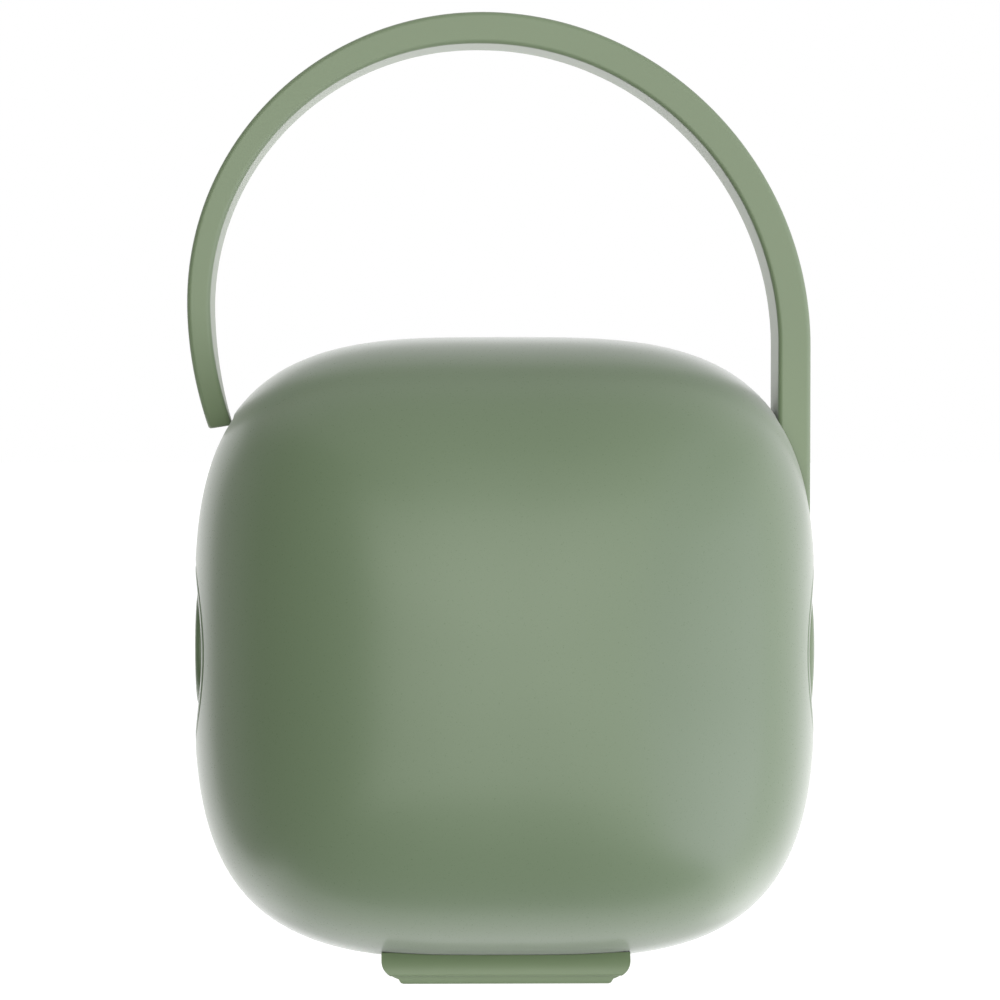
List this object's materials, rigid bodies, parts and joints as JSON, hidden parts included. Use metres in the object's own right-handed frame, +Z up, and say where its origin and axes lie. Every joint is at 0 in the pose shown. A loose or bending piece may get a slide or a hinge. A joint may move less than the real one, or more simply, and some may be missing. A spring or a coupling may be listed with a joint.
{
  "type": "pacifier box",
  "caption": "Rounded-square clamshell box for pacifiers, hinged at a small stepped block under it, with a soft band handle rooted at its right side.",
  "frame": {"origin": "middle of the hinge block's underside, where the box stands", "axes": "front of the box along -Y, +X to its right seen from the front, where the band is rooted, +Z up"},
  "size_m": [0.0755, 0.06, 0.1159],
  "materials": {
    "front_shell": "satin sage green",
    "rear_shell": "satin sage green",
    "front_hinge_leaf": "satin, a little yellower than the shells",
    "rear_hinge_leaf": "satin, a little yellower than the shells",
    "hinge_pin": "drawn wire",
    "handle_strap": "soft matt elastomer",
    "right_button": "satin sage green",
    "left_button": "satin sage green",
    "right_button_ring": "plain moulded",
    "left_button_ring": "plain moulded"
  },
  "bodies": {
    "case": {"rear_shell": "rear_shell", "rear_hinge_leaf": "rear_hinge_leaf", "hinge_pin": "hinge_pin", "right_button": "right_button", "left_button": "left_button", "right_button_ring": "right_button_ring", "left_button_ring": "left_button_ring"},
    "lid": {"front_shell": "front_shell", "front_hinge_leaf": "front_hinge_leaf"},
    "strap": {"handle_strap": "handle_strap"}
  },
  "joints": [
    {"name": "lid_hinge", "type": "hinge", "parent": "case", "child": "lid", "pos_m": [0, 0, 0.00115], "axis": [1, 0, 0], "range_deg": [0, 110]},
    {"name": "strap_turn", "type": "hinge", "parent": "case", "child": "strap", "pos_m": [0, 0, 0.0394], "axis": [-1, 0, 0], "range_deg": [0, 88]}
  ]
}
